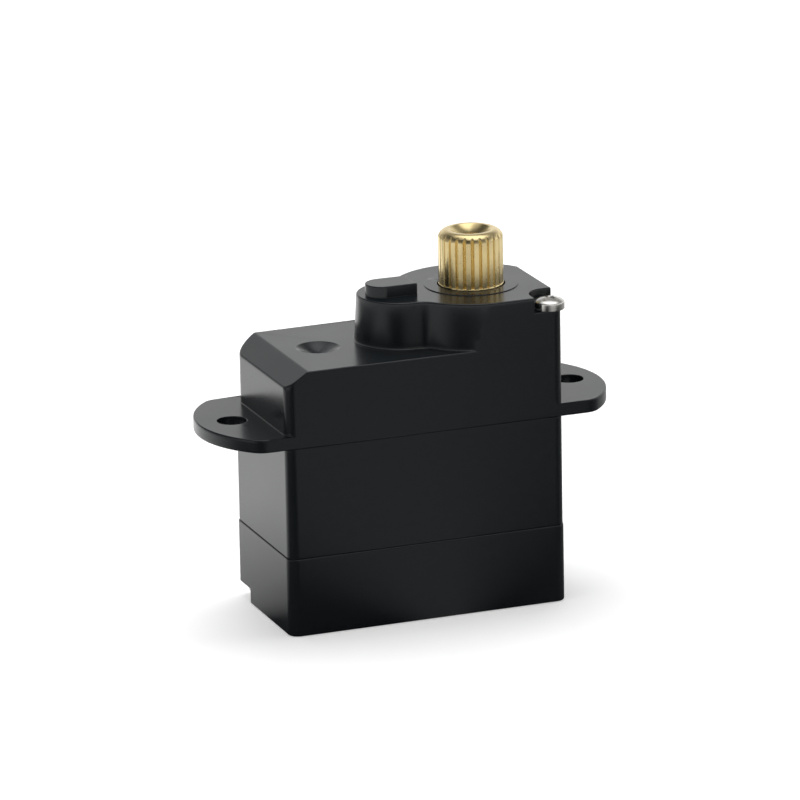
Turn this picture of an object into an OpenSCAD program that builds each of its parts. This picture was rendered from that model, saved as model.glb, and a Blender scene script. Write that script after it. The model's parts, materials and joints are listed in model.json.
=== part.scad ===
// Micro servo motor with a metal gear train, ball-raced brass output spline and mounting ears.
// Millimetres. The origin lies in the middle of the case at the level of the ears' underside.
// +X points towards the output shaft and +Z out along it.

/* [Case] */
// Length of the case
body_l = 22.8; // [22.6:0.1:30]
// Width of the case
body_w = 12.3; // [12.2:0.1:16]
// Radius of the case's upright corners
corner_r = 0.8; // [0.5:0.05:1.2]
// Thickness of the case walls
wall = 0.95; // [0.7:0.05:1.0]
// Height of the bottom cover
cover_h = 6.2; // [6.0:0.1:9]
// Height of the middle case, from the cover to the ears' underside
middle_h = 8.8; // [8.6:0.1:12]
// How far the bottom cover stands proud of the middle case on each side
cover_proud = 0.06; // [0:0.01:0.1]
// Thickness of the bottom cover's floor
floor_t = 0.95; // [0.6:0.05:1.0]

/* [Ears] */
// Length over both ears
ear_span = 33.2; // [32.6:0.1:40]
// Thickness of the ears
ear_t = 1.05; // [0.8:0.05:1.6]
// Radius of each ear's rounded end
ear_nose_r = 8; // [6.5:0.1:12]
// Radius of the ears' corners
ear_corner_r = 1.6; // [0.5:0.1:2.4]
// How far the ears sit towards the output shaft from the middle of the case
ear_shift = 0.2; // [0:0.05:0.4]
// Distance between the ear holes
hole_spacing = 28; // [27.6:0.1:34]
// How far the ear holes' middle lies towards the output shaft from the middle of the case
hole_shift = 0.3; // [0:0.05:0.4]
// Diameter of the ear holes
hole_d = 2.3; // [1.6:0.1:2.8]

/* [Top of the case] */
// Height of the step above the ears' underside
step_h = 6.05; // [6.0:0.05:7.2]
// Length of the slope at the step's end
slope_l = 1.8; // [0.5:0.1:2.2]
// Height of the slope at the step's end
slope_h = 1.17; // [0.4:0.01:1.3]
// Height of the dome above the ears' underside
dome_h = 9.7; // [9.6:0.05:12]
// Radius of the small dome over the gear axle, at its top
axle_dome_r = 3.4; // [3.3:0.05:3.8]
// How far the domes' walls stand out at their foot, from the draft
dome_draft = 0.22; // [0.02:0.02:0.3]
// Radius of the hollow blend between the two domes
dome_blend_r = 1.5; // [0.4:0.1:1.8]
// Height of the raised pad over the gear axle
pad_h = 0.9; // [0.3:0.1:1.2]
// Half width of the raised pad, which is also the radius of its round end
pad_half_w = 1.3; // [1.0:0.05:1.8]
// How far the raised pad reaches from the gear axle towards the motor
pad_reach = 2.8; // [2.0:0.1:3.0]
// Distance of the raised pad's hollow end from the output axis
pad_gap = 5.1; // [4.6:0.05:5.4]
// Radius of the low boss round the output shaft
boss_ring_r = 3.68; // [3.2:0.02:4.2]
// Height of the low boss round the output shaft
boss_ring_h = 0.06; // [0.02:0.02:0.16]
// Radius of the step's back corner at the motor end
step_corner_r = 2; // [0.9:0.1:2.2]
// Diameter of the dimple in the step
dimple_d = 3.4; // [1:0.1:3.8]
// Depth of the dimple in the step
dimple_depth = 0.65; // [0.3:0.05:0.7]

/* [Output shaft] */
// Distance from the output axis to the near end of the case
output_end = 5.2; // [5.2:0.05:6]
// Outside diameter of the spline
spline_d = 5.1; // [4.6:0.05:5.4]
// Root diameter of the spline
spline_root_d = 4.62; // [4.2:0.02:4.6]
// Number of spline teeth
spline_teeth = 25; // [21:1:25]
// Height of the plain collar above the dome
collar_h = 0.2; // [0.16:0.02:0.8]
// Height of the shaft's tip above the dome
shaft_h = 4.4; // [3:0.05:5.5]
// Radius of the rounded crown
crown_r = 0.75; // [0.3:0.05:0.8]
// Diameter of the tapped hole for the horn screw
horn_hole_d = 2.1; // [1.6:0.05:2.5]
// Depth of the tapped hole
horn_hole_depth = 6; // [4:0.1:6.3]
// Depth of the countersink at the mouth of the tapped hole
countersink_depth = 0.6; // [0.2:0.05:0.8]
// Outside diameter of the output bearing
bearing_od = 8.2; // [7.9:0.05:8.3]
// Width of the output bearing
bearing_w = 1.6; // [1.2:0.05:1.7]
// Diameter of the shaft below the output gear
lower_shaft_d = 1.48; // [1.3:0.02:1.5]

/* [Gears] */
// Module of the first three gear pairs
fine_module = 0.2; // [0.19:0.002:0.2]
// Module of the last gear pair
coarse_module = 0.25; // [0.24:0.001:0.25]
// Backlash at the pitch circle
backlash = 0.035; // [0.02:0.005:0.06]
// Face width of the fine wheels
fine_face = 1.0; // [0.8:0.05:1.1]
// Face width of the output gear
output_face = 2.0; // [1.6:0.1:2]
// Gap between gears stacked above each other
gear_gap = 0.2; // [0.15:0.01:0.22]
// Diameter of the fixed gear axle
axle_d = 1.0; // [0.8:0.05:1.1]

/* [Motor] */
// Diameter of the motor can
motor_d = 10; // [8.4:0.1:10]
// Length of the motor over its end cap
motor_l = 10.4; // [9.5:0.1:10.4]
// Diameter of the motor shaft
motor_shaft_d = 1.0; // [0.8:0.05:1.0]

/* [Potentiometer] */
// Diameter of the potentiometer
pot_d = 8.2; // [7.4:0.1:8.2]
// Height of the potentiometer
pot_h = 4.6; // [4:0.1:5]

/* [Control board] */
// Thickness of the control board
board_t = 0.8; // [0.6:0.1:0.8]

/* [Screws and cable inlet] */
// Distance of the corner screws from the end of the case
screw_end = 0.8; // [0.8:0.05:1.6]
// Distance of the top screw from the front of the case
screw_side = 0.95; // [0.9:0.05:1.6]
// Diameter of the screw shanks
screw_d = 1.1; // [0.9:0.05:1.1]
// Diameter of the screw heads
screw_head_d = 2.4; // [2:0.1:2.6]
// Height of the screw heads
screw_head_h = 0.95; // [0.6:0.05:1.1]
// Depth of the corner pockets for the screw heads
pocket_depth = 1.2; // [0.8:0.05:1.4]
// Width of the cable inlet
inlet_w = 4.0; // [3:0.1:5]
// Height of the cable inlet
inlet_h = 1.6; // [1.2:0.1:2]

/* [Hidden] */
$fn = 64;

// Colours
case_black = "#1c1c1e";
brass = "#c9a94f";
steel = "#b9bcc0";

// Clearances: a slip fit, a running fit round a shaft, a thrust gap, and a cut's overshoot
slip = 0.06;
running = 0.03;
thrust = 0.04;
over = 1;

// Tooth counts, from the motor to the output shaft
pinion_teeth = 9;
first_wheel_teeth = 46;
first_pinion_teeth = 20;
second_wheel_teeth = 39;
second_pinion_teeth = 12;
third_wheel_teeth = 47;
third_pinion_teeth = 16;
output_teeth = 31;
pressure_angle = 20;
tooth_root = 1.2;
tooth_tip = 0.95;
// Profile shifts, in modules, that keep the small pinions free of undercut
motor_shift = 0.45;
second_shift = 0.3;
third_shift = 0.1;

// The three gear axes
gear_to_output = fine_module * (third_wheel_teeth + second_pinion_teeth) / 2;
motor_to_gear = fine_module * (pinion_teeth + first_wheel_teeth) / 2;
output_x = body_l / 2 - output_end;
axle_x = output_x - gear_to_output;
motor_x = axle_x - motor_to_gear;

// Levels of the case
bottom_z = -middle_h - cover_h;
seam_z = -middle_h;
plate_top = 0.9;
plate_bottom = -0.7;
ceiling_t = 1.0;
step_ceiling = step_h - ceiling_t;
dome_foot = step_h - 0.2;
channel_w = 5.2;
// The large dome is a little wider than the case, which trims it flat at both sides
output_dome_r = body_w / 2 + 0.02;
dimple_x = (axle_x - axle_dome_r - body_l / 2 + slope_l) / 2 - 0.2;

// Levels of the gears, stacked upwards from the gear plate
washer_t = gear_gap - 2 * thrust;
first_z = plate_top + gear_gap;
first_top = first_z + fine_face;
second_z = first_top + gear_gap;
second_top = second_z + fine_face;
third_z = second_top + gear_gap + 0.1;
third_top = third_z + fine_face;
output_z = third_top + gear_gap + 0.25;
output_top = output_z + output_face;
third_pinion_top = output_top + 0.15;
second_pinion_top = third_top + 0.15;
first_pinion_top = second_top + 0.1;

// Output shaft and its bearing
lip_t = 0.6;
bearing_top = dome_h - lip_t;
bearing_z = bearing_top - bearing_w;
collar_top = dome_h + collar_h;
shaft_top = dome_h + shaft_h;
journal_r = spline_d / 2;
spline_relief = 0.06;
countersink_r = 1.6;
bearing_r = bearing_od / 2;
race_t = 0.4;
ball_pitch_r = (journal_r + bearing_r) / 2;
ball_r = (bearing_r - journal_r - 2 * race_t) / 2 + 0.05;
ball_count = 9;
lower_r = lower_shaft_d / 2;
shaft_bottom = plate_bottom - 1.9;
key_flat = lower_r * 0.6;
bush_r = 1.5;

// Motor
motor_r = motor_d / 2;
motor_top = plate_bottom;
motor_bottom = motor_top - motor_l;
cap_h = 1.5;
can_t = 0.35;
can_bottom = motor_bottom + cap_h;
shaft_r = motor_shaft_d / 2;
boss_r = 1.5;
boss_h = 0.6;
motor_bush_r = 1.05;
end_bush_r = 0.95;
magnet_t = 0.85;
core_r = motor_r - can_t - magnet_t - 0.25;
core_top = motor_top - 2.5;
core_bottom = can_bottom + 2.2;
hub_r = 1.35;
pole_w = 1.5;
shoe_t = 0.65;
slot_w = 0.7;
commutator_r = 1.1;
commutator_top = can_bottom + 1.0;
commutator_bottom = can_bottom - 0.6;
cap_bore_r = motor_r - can_t - 1.0;
terminal_t = 0.2;
terminal_w = 1.2;
terminal_y = cap_bore_r - 0.75;
brush_t = 0.2;
brush_z = commutator_bottom + 0.15;
// The brushes' far corners stay inside the end cap's bore
brush_l = min(1.8, sqrt(pow(cap_bore_r, 2) - pow(terminal_y + terminal_t / 2, 2)) - 0.1);

// Potentiometer
pot_r = pot_d / 2;
pot_top = plate_bottom - 0.5;
pot_bottom = pot_top - pot_h;
pot_wall = 0.5;
rotor_disc_z = pot_top - 2.7;
rotor_disc_t = 0.6;
track_t = 0.6;
track_r = 2.6;
contact_r = 1.5;
track_top = pot_bottom + track_t + 0.08;
lead_spacing = 1.6;
lead_x = -1.8;
lead_r = 0.32;

// Control board
board_top = motor_bottom - 0.7;
board_bottom = board_top - board_t;
board_gap = 0.15;
chip_size = 4;
chip_t = 0.95;
bridge_size = [3, 3.4];
bridge_t = 0.9;
bridge_y = 2.6;
chip_part_size = [0.8, 1.6];
chip_part_pitch = 1.5;
capacitor_t = 0.7;
resistor_t = 0.45;
post_r = 1.0;

// Screws: the top one stands in the front output corner, the bottom one in the opposite corner
top_screw = [body_l / 2 - screw_end, -(body_w / 2 - screw_side)];
bottom_screw = [-(body_l / 2 - screw_end - 0.7), body_w / 2 - screw_side - 0.55];
screw_r = screw_d / 2;
head_r = screw_head_d / 2;
bottom_head_r = head_r - 0.1;
top_seat = dome_h - pocket_depth;
bottom_seat = bottom_z + pocket_depth;
pocket_gap = 0.35;
top_screw_tip = seam_z - 3.2;
recess_w = 0.32;
recess_turn = 35;

// Cable inlet
lead_hole_r = 0.45;
lead_hole_pitch = 1.15;

// ---------------------------------------------------------------- shared shapes

// Rectangle with round corners, centred
module rounded_plan(l, w, r) {
    square([l, w - 2 * r], center = true);
    square([l - 2 * r, w], center = true);
    for (sx = [-1, 1], sy = [-1, 1])
        translate([sx * (l / 2 - r), sy * (w / 2 - r)]) circle(r);
}

// The case's outline, drawn in by an amount
module case_plan(inset = 0) {
    rounded_plan(body_l - 2 * inset, body_w - 2 * inset, max(corner_r - inset, 0.2));
}

// Extrudes a plan between two levels
module between(z0, z1) {
    translate([0, 0, z0]) linear_extrude(z1 - z0) children();
}

module disc(r, z0, z1) {
    translate([0, 0, z0]) cylinder(h = z1 - z0, r = r);
}

module tube(outer, inner, z0, z1) {
    difference() {
        disc(outer, z0, z1);
        disc(inner, z0 - over, z1 + over);
    }
}

module box(low, high) {
    translate(low) cube(high - low);
}

module at_output() {
    translate([output_x, 0, 0]) children();
}

module at_axle() {
    translate([axle_x, 0, 0]) children();
}

module at_motor() {
    translate([motor_x, 0, 0]) children();
}

// ---------------------------------------------------------------- gear teeth

// Involute function of the pressure angle at radius r, in degrees
function involute(base, r) = r <= base ? 0 : sqrt(pow(r / base, 2) - 1) * 180 / PI - acos(base / r);

// Half the angle that a tooth fills at radius r
function half_tooth(teeth, m, shift, r) =
    let (pitch = m * teeth / 2, base = pitch * cos(pressure_angle))
    (m * (PI / 2 + 2 * shift * tan(pressure_angle)) - backlash) / (2 * pitch) * 180 / PI
        + involute(base, pitch) - involute(base, max(r, base));

function polar(r, a) = [r * cos(a), r * sin(a)];

// Outline of a spur gear with a tooth centred at the angle phase
function gear_outline(teeth, m, shift, phase) =
    let (pitch = m * teeth / 2,
        base = pitch * cos(pressure_angle),
        root = pitch - m * (tooth_root - shift),
        tip = pitch + m * (tooth_tip + shift),
        low = max(root + 0.02, base),
        mid = (low + tip) / 2)
    [for (i = [0 : teeth - 1], side = [-1, 1], k = [0 : 3])
        let (step = side < 0 ? k : 3 - k,
            r = step == 0 ? root : step == 1 ? low : step == 2 ? mid : tip)
        polar(r, phase + i * 360 / teeth + side * half_tooth(teeth, m, shift, r))];

module gear(teeth, m, shift, phase, z0, z1) {
    between(z0, z1) polygon(gear_outline(teeth, m, shift, phase));
}

// A gear to the left shows a tooth along +X; the one to its right shows a gap along -X
function gap_phase(teeth) = 180 - 180 / teeth;

// ---------------------------------------------------------------- case

// How far a drafted wall stands out at a level
function draft_at(z) = dome_draft * (dome_h - z) / (dome_h - step_h);

// Round column from z0 to z1 whose side leans with the draft: out at its foot, or in if way is -1
module drafted_disc(r, z0, z1, way = 1) {
    translate([0, 0, z0]) cylinder(h = z1 - z0, r1 = r + way * draft_at(z0), r2 = r + way * draft_at(z1));
}

// Place of the blend's centre from the gear axle; the blend touches both domes
function blend_centre() =
    let (r1 = axle_dome_r + dome_blend_r,
        r2 = output_dome_r + dome_blend_r,
        x = (gear_to_output * gear_to_output + r1 * r1 - r2 * r2) / (2 * gear_to_output))
    [x, sqrt(r1 * r1 - x * x)];

// Blend between the two domes: the triangle between their centres and its own, hollowed
module dome_blend() {
    centre = blend_centre();
    for (side = [-1, 1])
        difference() {
            between(dome_foot, dome_h)
                polygon([[axle_x, 0], [axle_x + centre[0], side * centre[1]], [output_x, 0]]);
            translate([axle_x + centre[0], side * centre[1], 0])
                drafted_disc(dome_blend_r, dome_foot - over, dome_h + over, -1);
        }
}

module domes() {
    intersection() {
        at_output() drafted_disc(output_dome_r, dome_foot, dome_h);
        box([-body_l / 2, -body_w / 2, 0], [body_l / 2, body_w / 2, dome_h + over]);
    }
    at_axle() drafted_disc(axle_dome_r, dome_foot, dome_h);
    dome_blend();
    // The front output corner is full, to carry the top screw
    between(dome_foot, dome_h) intersection() {
        case_plan();
        translate([output_x, -body_w / 2]) square([body_l, body_w / 2]);
    }
}

// One ear's outline from the middle of the case to its nose, with both corners rounded
module ear_outline() {
    nose_x = ear_span / 2 - ear_nose_r;
    corner_y = body_w / 2 - ear_corner_r;
    reach = ear_nose_r - ear_corner_r;
    corner_x = nose_x + sqrt(max(reach * reach - corner_y * corner_y, 0));
    slope = (corner_x - nose_x) / corner_y;
    translate([0, -body_w / 2]) square([corner_x, body_w]);
    for (side = [-1, 1]) translate([corner_x, side * corner_y]) circle(ear_corner_r);
    intersection() {
        translate([nose_x, 0]) circle(ear_nose_r);
        polygon([[nose_x, 0], [nose_x + slope * ear_span, -ear_span], [nose_x + ear_span * 2, -ear_span],
            [nose_x + ear_span * 2, ear_span], [nose_x + slope * ear_span, ear_span]]);
    }
}

module ear_plan() {
    square([body_l, body_w], center = true);
    translate([ear_shift, 0]) for (turn = [0, 180]) rotate(turn) ear_outline();
}

// The step, with a slope at its far end
module step_plan() {
    far = [-body_l / 2, body_w / 2];
    centre = [far[0] + step_corner_r, far[1] - step_corner_r];
    difference() {
        case_plan();
        polygon([[far[0] - over, centre[1]], [centre[0], centre[1]], [centre[0], far[1] + over],
            [far[0] - over, far[1] + over]]);
    }
    translate(centre) circle(step_corner_r);
}

module step_block() {
    end = -body_l / 2;
    difference() {
        between(0, step_h) step_plan();
        translate([0, body_w, 0]) rotate([90, 0, 0]) linear_extrude(2 * body_w)
            polygon([[end - over, step_h + over], [end - over, step_h - slope_h - over * slope_h / slope_l],
                [end + slope_l, step_h], [end + slope_l, step_h + over]]);
    }
}

// Raised pad: round at the motor end, and hollow with sharp tips towards the output shaft
module pad_plan() {
    round_x = axle_x - pad_reach + pad_half_w;
    translate([round_x, 0]) circle(pad_half_w);
    difference() {
        translate([round_x, -pad_half_w]) square([output_x - round_x, 2 * pad_half_w]);
        translate([output_x, 0]) circle(pad_gap);
    }
}

// Corner pocket that opens to two faces, with its inner corner rounded
module pocket_plan(screw, r) {
    reach = r + pocket_gap;
    far = [sign(screw[0]) * body_l, sign(screw[1]) * body_w];
    translate(screw) circle(reach);
    polygon([[screw[0], screw[1] - sign(screw[1]) * reach], [far[0], screw[1] - sign(screw[1]) * reach],
        far, [screw[0] - sign(screw[0]) * reach, far[1]],
        [screw[0] - sign(screw[0]) * reach, screw[1]], screw]);
}

// The room inside the walls, with the screw posts left standing
module hollow_plan(inset) {
    difference() {
        case_plan(inset);
        translate(top_screw) circle(post_r);
        translate(bottom_screw) circle(post_r);
    }
}

module top_case() {
    color(case_black) difference() {
        union() {
            between(0, ear_t) ear_plan();
            step_block();
            domes();
            between(dome_h - 0.2, dome_h + pad_h) pad_plan();
            at_output() disc(boss_ring_r, dome_h - 0.2, dome_h + boss_ring_h);
        }
        // Gear room, then the rooms of the output gear and of the last pinion
        between(-over, step_ceiling) hollow_plan(wall);
        at_output() disc(coarse_module * (output_teeth / 2 + 1) + 0.13, step_ceiling - over, bearing_z - 0.2);
        at_axle() disc(coarse_module * (third_pinion_teeth / 2 + 1) + 0.2, step_ceiling - over,
            third_pinion_top + 0.15);
        // Bearing seat and the shaft's way out
        at_output() disc(bearing_r + 0.02, step_ceiling, bearing_top);
        at_output() disc(journal_r + 0.1, step_ceiling, dome_h + over);
        // Blind hole of the gear axle
        at_axle() disc(axle_d / 2 + 0.01, 0, dome_h - 0.2);
        // Dimple in the step
        translate([dimple_x, 0, step_h - dimple_depth])
            cylinder(h = dimple_depth + 0.001, r1 = 0.25, r2 = dimple_d / 2);
        // Screw seat with its hole through, and the other screw's blind hole
        between(top_seat, dome_h + over) pocket_plan(top_screw, head_r);
        translate(top_screw) disc(screw_r + slip, -over, dome_h);
        translate(bottom_screw) disc(screw_r + 0.01, -over, step_ceiling - slope_h - 0.3);
        // Ear holes
        for (side = [-1, 1])
            translate([hole_shift + side * hole_spacing / 2, 0, 0]) disc(hole_d / 2, -over, ear_t + over);
    }
}

module middle_case() {
    color(case_black) difference() {
        union() {
            between(seam_z, 0) case_plan();
            // Gear plate, which locates inside the top case
            between(-0.2, plate_top) difference() {
                case_plan(wall + slip);
                for (p = [top_screw, bottom_screw]) translate(p) circle(post_r + slip);
            }
        }
        // Motor bay, potentiometer bay and the channel between them
        at_motor() disc(motor_r + slip, seam_z - over, plate_bottom);
        at_output() disc(pot_r + slip, seam_z - over, plate_bottom);
        box([motor_x, -channel_w / 2, seam_z - over], [output_x, channel_w / 2, plate_bottom - 1.2]);
        // Rebate for the cover's lip
        between(seam_z - over, seam_z + 0.7) difference() {
            case_plan(wall / 2);
            for (p = [top_screw, bottom_screw]) translate(p) circle(post_r + 0.1);
        }
        // Holes in the gear plate
        at_motor() disc(boss_r + slip, plate_bottom - over, plate_top + over);
        at_axle() disc(axle_d / 2 + 0.01, plate_bottom + 0.3, plate_top + over);
        at_output() disc(bush_r + 0.01, plate_bottom - over, plate_top + over);
        // Screw holes
        for (p = [top_screw, bottom_screw]) translate(p) disc(screw_r + slip, seam_z - over, plate_top + over);
    }
}

module bottom_cover() {
    color(case_black) difference() {
        union() {
            between(bottom_z, seam_z) case_plan(-cover_proud);
            // Lip that locates inside the middle case
            between(seam_z - 0.2, seam_z + 0.62) difference() {
                case_plan(wall / 2 + slip);
                case_plan(wall);
                for (p = [top_screw, bottom_screw]) translate(p) circle(post_r + 0.2);
            }
        }
        difference() {
            between(bottom_z + floor_t, seam_z + over) hollow_plan(wall);
            // Posts under the board: one near each corner that has no screw, and round the screws
            for (side = [-1, 1]) translate([side * (body_l / 2 - wall), side * (body_w / 2 - wall), 0])
                disc(post_r + 0.4, bottom_z, board_bottom);
            between(bottom_z, bottom_seat + floor_t) translate(bottom_screw) circle(head_r + pocket_gap + 0.35);
        }
        // Screw pocket with its hole through, and the other screw's blind hole
        between(bottom_z - over, bottom_seat) pocket_plan(bottom_screw, bottom_head_r);
        translate(bottom_screw) disc(screw_r + slip, bottom_z, seam_z + over);
        translate(top_screw) disc(screw_r + 0.01, top_screw_tip - 0.2, seam_z + over);
        // Cable inlet
        box([body_l / 2 - wall - over, -inlet_w / 2, seam_z - inlet_h], [body_l, inlet_w / 2, seam_z + over]);
    }
}

// Pan head with a cross recess, above a plain shank; it stands on z = 0
module pan_screw(r, length) {
    difference() {
        union() {
            disc(screw_r, -length, 0.2);
            disc(r, 0, screw_head_h - 0.35);
            translate([0, 0, screw_head_h - 0.35]) cylinder(h = 0.2, r1 = r, r2 = r - 0.16);
            translate([0, 0, screw_head_h - 0.15]) cylinder(h = 0.15, r1 = r - 0.16, r2 = r - 0.5);
        }
        for (turn = [0, 90]) rotate([0, 0, turn + recess_turn])
            box([-0.68 * r, -recess_w / 2, screw_head_h - 0.45], [0.68 * r, recess_w / 2, screw_head_h + over]);
        translate([0, 0, screw_head_h - 0.6]) cylinder(h = 0.6 + 0.001, r1 = 0.1, r2 = 0.42);
    }
}

module case_screws() {
    color(steel) {
        translate([top_screw[0], top_screw[1], top_seat]) pan_screw(head_r, top_seat - top_screw_tip);
        translate([bottom_screw[0], bottom_screw[1], bottom_seat]) mirror([0, 0, 1])
            pan_screw(bottom_head_r, step_ceiling - slope_h - 0.5 - bottom_seat);
    }
}

// ---------------------------------------------------------------- output shaft and bearing

// Outline of the spline: flat-topped teeth with narrow V grooves between them
function spline_outline() =
    let (pitch = 360 / spline_teeth)
    [for (i = [0 : spline_teeth - 1], p = [[-0.3, 0], [-0.1, 0], [0.1, 0], [0.3, 0], [0.44, 1], [0.56, 1]])
        polar((p[1] == 0 ? spline_d - spline_relief : spline_root_d) / 2, (i + p[0]) * pitch)];

// Upper end of the shaft as a turned profile: a plain side with a rounded crown
module crown() {
    rotate_extrude() polygon(concat([[0, collar_top - 0.1], [journal_r + 0.1, collar_top - 0.1],
            [journal_r + 0.1, shaft_top - crown_r], [journal_r, shaft_top - crown_r]],
        [for (a = [18 : 18 : 90]) [journal_r - crown_r * (1 - cos(a)), shaft_top - crown_r * (1 - sin(a))]],
        [[0, shaft_top]]));
}

module output_gear() {
    color(brass) at_output() difference() {
        union() {
            // Spline, collar, journal and shoulder
            intersection() {
                between(collar_top - 0.05, shaft_top) polygon(spline_outline());
                crown();
            }
            disc(journal_r, output_top - 0.1, collar_top);
            disc(journal_r + 0.25, output_top - 0.1, bearing_z);
            gear(output_teeth, coarse_module, -third_shift, gap_phase(output_teeth), output_z, output_top);
            // Hub and lower journal with a keyed end
            disc(1.25, output_z - 0.2, output_z + 0.1);
            disc(lower_r, shaft_bottom, output_z);
        }
        disc(horn_hole_d / 2, shaft_top - horn_hole_depth, shaft_top + over);
        translate([0, 0, shaft_top - countersink_depth])
            cylinder(h = countersink_depth + 0.001, r1 = horn_hole_d / 2, r2 = countersink_r);
        box([key_flat, -2, shaft_bottom - over], [2, 2, pot_top]);
    }
}

module race_groove() {
    rotate_extrude() translate([ball_pitch_r, bearing_z + bearing_w / 2]) circle(ball_r + 0.05, $fn = 32);
}

module bearing_outer_race() {
    color(steel) at_output() difference() {
        tube(bearing_r, bearing_r - race_t, bearing_z, bearing_top);
        race_groove();
    }
}

module bearing_inner_race() {
    color(steel) at_output() difference() {
        tube(journal_r + race_t, journal_r + 0.01, bearing_z, bearing_top);
        race_groove();
    }
}

module ball_places() {
    for (i = [0 : ball_count - 1])
        rotate([0, 0, i * 360 / ball_count]) translate([ball_pitch_r, 0, bearing_z + bearing_w / 2]) children();
}

module bearing_balls() {
    color(steel) at_output() ball_places() sphere(ball_r, $fn = 24);
}

module bearing_cage() {
    mid = bearing_z + bearing_w / 2;
    color(brass) at_output() difference() {
        tube(ball_pitch_r + 0.16, ball_pitch_r - 0.16, mid - 0.55, mid + 0.55);
        ball_places() rotate([0, 90, 0]) cylinder(h = 2, r = ball_r + 0.03, center = true);
    }
}

module output_bush() {
    color(brass) at_output() difference() {
        union() {
            disc(bush_r, plate_bottom, plate_top);
            disc(bush_r + 0.4, plate_bottom - 0.25, plate_bottom);
        }
        disc(lower_r + running, pot_top - over, plate_top + over);
    }
}

// ---------------------------------------------------------------- gear train

module gear_axle() {
    color(steel) at_axle() disc(axle_d / 2, plate_bottom + 0.3, dome_h - 0.25);
}

module on_axle_bore() {
    disc(axle_d / 2 + running, -over, dome_h);
}

module first_gear() {
    color(brass) at_axle() difference() {
        union() {
            gear(first_wheel_teeth, fine_module, -motor_shift, gap_phase(first_wheel_teeth), first_z, first_top);
            gear(first_pinion_teeth, fine_module, 0, 0, first_top, first_pinion_top);
        }
        on_axle_bore();
    }
}

module second_gear() {
    color(brass) at_output() difference() {
        union() {
            disc(lower_r + 0.22, first_z, second_z);
            gear(second_wheel_teeth, fine_module, 0, gap_phase(second_wheel_teeth), second_z, second_top);
            gear(second_pinion_teeth, fine_module, second_shift, gap_phase(second_pinion_teeth),
                second_top, second_pinion_top);
        }
        disc(lower_r + running, -over, dome_h);
    }
}

module third_gear() {
    color(brass) at_axle() difference() {
        union() {
            gear(third_wheel_teeth, fine_module, -second_shift, 0, third_z, third_top);
            gear(third_pinion_teeth, coarse_module, third_shift, 0, third_top, third_pinion_top);
        }
        on_axle_bore();
    }
}

module gear_washers() {
    color(steel) {
        at_axle() tube(axle_d / 2 + 0.6, axle_d / 2 + 0.02, plate_top, plate_top + washer_t);
        at_axle() tube(axle_d / 2 + 0.5, axle_d / 2 + 0.02, first_pinion_top + thrust, third_z - thrust);
        at_output() tube(lower_r + 0.22, lower_r + 0.02, plate_top, plate_top + washer_t);
    }
}

module motor_pinion() {
    color(brass) at_motor() difference() {
        gear(pinion_teeth, fine_module, motor_shift, 0, plate_top + 0.1, first_top + 0.1);
        disc(shaft_r, 0, dome_h);
    }
}

// ---------------------------------------------------------------- motor

module motor_can() {
    color(steel) at_motor() difference() {
        union() {
            disc(motor_r, can_bottom, motor_top);
            disc(boss_r, motor_top - 0.1, motor_top + boss_h);
        }
        disc(motor_r - can_t, can_bottom - over, motor_top - 0.5);
        disc(motor_bush_r, motor_top - over, motor_top + boss_h + over);
    }
}

module motor_bush() {
    color(brass) at_motor() tube(motor_bush_r, shaft_r + running, motor_top - 0.9, motor_top + boss_h);
}

module motor_magnets() {
    r = motor_r - can_t - 0.02;
    color("#55565a") at_motor() difference() {
        tube(r, r - magnet_t, can_bottom + 1.0, motor_top - 1.4);
        for (side = [0, 180]) rotate([0, 0, side])
            between(can_bottom, motor_top) polygon([[0, 0], polar(2 * r, 65), polar(2 * r, 115)]);
    }
}

module motor_shaft() {
    color(steel) at_motor() disc(shaft_r, motor_bottom + 0.25, first_top + 0.25);
}

// Three poles on a hub, with broad shoes parted by three slots
module rotor_core() {
    color("#8f9296") at_motor() between(core_bottom, core_top) {
        difference() {
            union() {
                circle(hub_r);
                for (i = [0 : 2]) rotate(i * 120)
                    translate([shaft_r + 0.2, -pole_w / 2]) square([core_r - shaft_r - shoe_t, pole_w]);
            }
            circle(shaft_r);
        }
        difference() {
            circle(core_r);
            circle(core_r - shoe_t);
            for (i = [0 : 2]) rotate(60 + i * 120) translate([0, -slot_w / 2]) square([2 * core_r, slot_w]);
        }
    }
}

// One coil on each pole, hollow where the pole runs through
module rotor_windings() {
    near = hub_r + 0.05;
    far = core_r - shoe_t - 0.35;
    coil_w = pole_w / 2 + 0.4;
    color("#a8552c") at_motor() for (i = [0 : 2]) rotate([0, 0, i * 120]) difference() {
        box([near, -coil_w, core_bottom - 0.6], [far, coil_w, core_top + 0.6]);
        box([0, -pole_w / 2 - 0.03, core_bottom - 0.03], [core_r, pole_w / 2 + 0.03, core_top + 0.03]);
    }
}

module commutator() {
    color("#b87333") at_motor() between(commutator_bottom, commutator_top) difference() {
        circle(commutator_r);
        circle(shaft_r + 0.12);
        for (i = [0 : 2]) rotate(60 + i * 120) translate([0, -0.08]) square([2, 0.16]);
    }
}

module motor_end_cap() {
    color("#e9e6dc") at_motor() difference() {
        union() {
            disc(motor_r, motor_bottom, can_bottom);
            disc(motor_r - can_t - 0.01, can_bottom - 0.1, can_bottom + 0.5);
        }
        disc(cap_bore_r, motor_bottom + 0.7, can_bottom + over);
        disc(end_bush_r, motor_bottom - over, can_bottom);
        for (side = [-1, 1]) translate([0, side * terminal_y, 0])
            box([-terminal_w / 2 - 0.02, -terminal_t, motor_bottom - over],
                [terminal_w / 2 + 0.02, terminal_t, can_bottom]);
    }
}

module motor_end_bush() {
    color(brass) at_motor() tube(end_bush_r, shaft_r + running, motor_bottom, motor_bottom + 0.8);
}

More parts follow.
